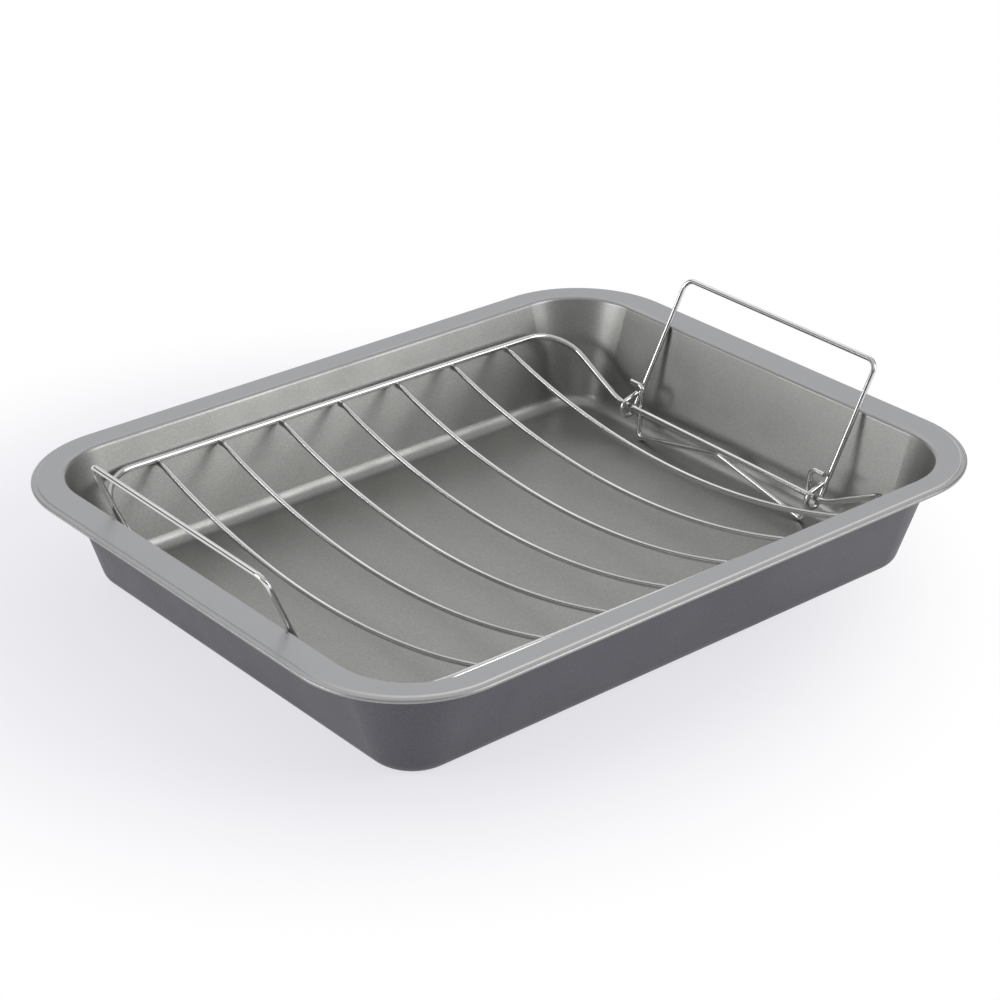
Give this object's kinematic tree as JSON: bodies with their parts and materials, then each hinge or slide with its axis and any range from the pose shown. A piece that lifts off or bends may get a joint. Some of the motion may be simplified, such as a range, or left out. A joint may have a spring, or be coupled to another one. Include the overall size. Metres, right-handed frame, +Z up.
{
  "type": "roasting pan with rack",
  "caption": "Rectangular roasting pan with a flat rim, sloping walls and a cradle-shaped wire rack that lifts out by two hinged bail handles.",
  "frame": {"origin": "middle of the pan's flat underside", "axes": "+X along the pan's long side, +Y along its short side, +Z up out of the pan's mouth"},
  "size_m": [0.42, 0.335, 0.093],
  "materials": {
    "nonstick_steel": "satin speckled warm grey non-stick inside and on the rim, darker charcoal outside",
    "bright_wire": "polished"
  },
  "bodies": {
    "pan": {"pan": "nonstick_steel"},
    "rack": {"rack_frame": "bright_wire", "cross_wire_1": "bright_wire", "cross_wire_2": "bright_wire", "cross_wire_3": "bright_wire", "cross_wire_4": "bright_wire", "cross_wire_5": "bright_wire", "cross_wire_6": "bright_wire", "cross_wire_7": "bright_wire", "rack_support_left": "bright_wire", "rack_support_right": "bright_wire"},
    "handle_left": {"rack_handle_left": "bright_wire"},
    "handle_right": {"rack_handle_right": "bright_wire"}
  },
  "joints": [
    {"name": "rack_lift", "type": "slide", "parent": "pan", "child": "rack", "axis": [0, 0, 1], "range_m": [0, 0.1]},
    {"name": "handle_left_swing", "type": "hinge", "parent": "rack", "child": "handle_left", "pos_m": [-0.16328, 0.00561, 0.0205], "axis": [0.0175, 0.9998, 0], "range_deg": [0, 14.5]},
    {"name": "handle_right_swing", "type": "hinge", "parent": "rack", "child": "handle_right", "pos_m": [0.15848, -0.00001, 0.0205], "axis": [-0.0175, -0.9998, 0], "range_deg": [0, 19.7]}
  ]
}
